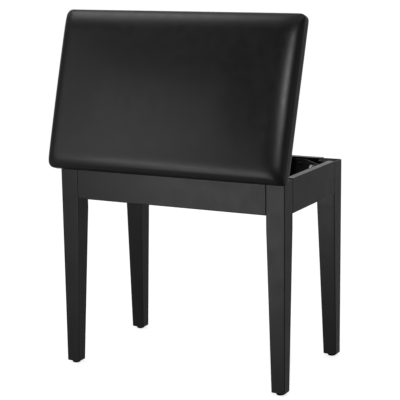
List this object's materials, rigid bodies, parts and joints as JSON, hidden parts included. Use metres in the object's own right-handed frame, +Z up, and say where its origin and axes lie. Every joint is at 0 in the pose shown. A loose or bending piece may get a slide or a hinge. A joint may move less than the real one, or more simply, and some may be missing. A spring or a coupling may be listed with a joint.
{
  "type": "piano bench",
  "caption": "Black piano bench with square tapered legs, a storage box and a padded lid that is hinged along the rear and held open by friction stays.",
  "frame": {"origin": "on the floor, in the middle of the open bench's bounding box", "axes": "+Z up, +X along the bench to its right-hand end, +Y to the front; the lid is hinged along the rear (-Y) edge"},
  "size_m": [0.534, 0.3486, 0.7534],
  "materials": {
    "lacquered_wood": "satin black lacquer on solid wood, sprayed smooth, with faint grain",
    "bottom_board": "flat black painted board",
    "lid_board_wood": "bare plywood",
    "seat_leather": "smooth black synthetic leather, semi-gloss, with a fine grain",
    "seat_foam": "open-cell upholstery foam",
    "dust_cloth": "black non-woven cloth",
    "foot_plastic": "matte black moulded plastic",
    "bumper_rubber": "black rubber",
    "black_steel": "black powder-coated pressed steel",
    "hinge_steel": "bright rolled steel",
    "zinc_steel": "bright zinc-plated steel"
  },
  "bodies": {
    "frame": {"leg_rear_left": "lacquered_wood", "leg_rear_right": "lacquered_wood", "leg_front_left": "lacquered_wood", "leg_front_right": "lacquered_wood", "apron_rear": "lacquered_wood", "apron_front": "lacquered_wood", "apron_left": "lacquered_wood", "apron_right": "lacquered_wood", "bottom_panel": "bottom_board", "glide_rear_left": "foot_plastic", "glide_rear_right": "foot_plastic", "glide_front_left": "foot_plastic", "glide_front_right": "foot_plastic", "corner_bracket_rear_left": "black_steel", "corner_bracket_rear_right": "black_steel", "corner_bracket_front_left": "black_steel", "corner_bracket_front_right": "black_steel", "leg_bolt_lower_rear_left": "zinc_steel", "leg_nut_lower_rear_left": "zinc_steel", "leg_bolt_upper_rear_left": "zinc_steel", "leg_nut_upper_rear_left": "zinc_steel", "leg_bolt_lower_rear_right": "zinc_steel", "leg_nut_lower_rear_right": "zinc_steel", "leg_bolt_upper_rear_right": "zinc_steel", "leg_nut_upper_rear_right": "zinc_steel", "leg_bolt_lower_front_left": "zinc_steel", "leg_nut_lower_front_left": "zinc_steel", "leg_bolt_upper_front_left": "zinc_steel", "leg_nut_upper_front_left": "zinc_steel", "leg_bolt_lower_front_right": "zinc_steel", "leg_nut_lower_front_right": "zinc_steel", "leg_bolt_upper_front_right": "zinc_steel", "leg_nut_upper_front_right": "zinc_steel", "hinge_fixed_leaf_left": "hinge_steel", "hinge_pin_left": "hinge_steel", "stay_box_bracket_left": "black_steel", "stay_box_pin_left": "zinc_steel", "lid_bumper_left": "bumper_rubber", "hinge_fixed_leaf_right": "hinge_steel", "hinge_pin_right": "hinge_steel", "stay_box_bracket_right": "black_steel", "stay_box_pin_right": "zinc_steel", "lid_bumper_right": "bumper_rubber"},
    "lid": {"lid_board": "lid_board_wood", "seat_foam": "seat_foam", "seat_cover": "seat_leather", "dust_cloth": "dust_cloth", "hinge_moving_leaf_left": "hinge_steel", "stay_lid_bracket_left": "black_steel", "stay_lid_pin_left": "zinc_steel", "hinge_moving_leaf_right": "hinge_steel", "stay_lid_bracket_right": "black_steel", "stay_lid_pin_right": "zinc_steel"},
    "stay_arm_left": {"stay_arm_left": "zinc_steel", "stay_knee_pin_left": "zinc_steel"},
    "stay_arm_right": {"stay_arm_right": "zinc_steel", "stay_knee_pin_right": "zinc_steel"},
    "stay_link_left": {"stay_link_left": "zinc_steel"},
    "stay_link_right": {"stay_link_right": "zinc_steel"}
  },
  "joints": [
    {"name": "lid_hinge", "type": "hinge", "parent": "frame", "child": "lid", "pos_m": [0, -0.12567, 0.4355], "axis": [1, 0, 0], "range_deg": [-72.5, 0]},
    {"name": "stay_arm_left_pivot", "type": "hinge", "parent": "frame", "child": "stay_arm_left", "pos_m": [-0.13, -0.08767, 0.4015], "axis": [1, 0, 0], "range_deg": [-72.5, 0]},
    {"name": "stay_knee_left_pivot", "type": "hinge", "parent": "stay_arm_left", "child": "stay_link_left", "pos_m": [-0.13, -0.05052, 0.4894], "axis": [1, 0, 0], "range_deg": [0, 72.5]},
    {"name": "stay_arm_right_pivot", "type": "hinge", "parent": "frame", "child": "stay_arm_right", "pos_m": [0.13, -0.08767, 0.4015], "axis": [1, 0, 0], "range_deg": [-72.5, 0]},
    {"name": "stay_knee_right_pivot", "type": "hinge", "parent": "stay_arm_right", "child": "stay_link_right", "pos_m": [0.13, -0.05052, 0.4894], "axis": [1, 0, 0], "range_deg": [0, 72.5]}
  ],
  "couplings": [
    {"joint": "stay_arm_left_pivot", "follows": "lid_hinge", "ratio": 1},
    {"joint": "stay_knee_left_pivot", "follows": "lid_hinge", "ratio": -1},
    {"joint": "stay_arm_right_pivot", "follows": "lid_hinge", "ratio": 1},
    {"joint": "stay_knee_right_pivot", "follows": "lid_hinge", "ratio": -1}
  ]
}
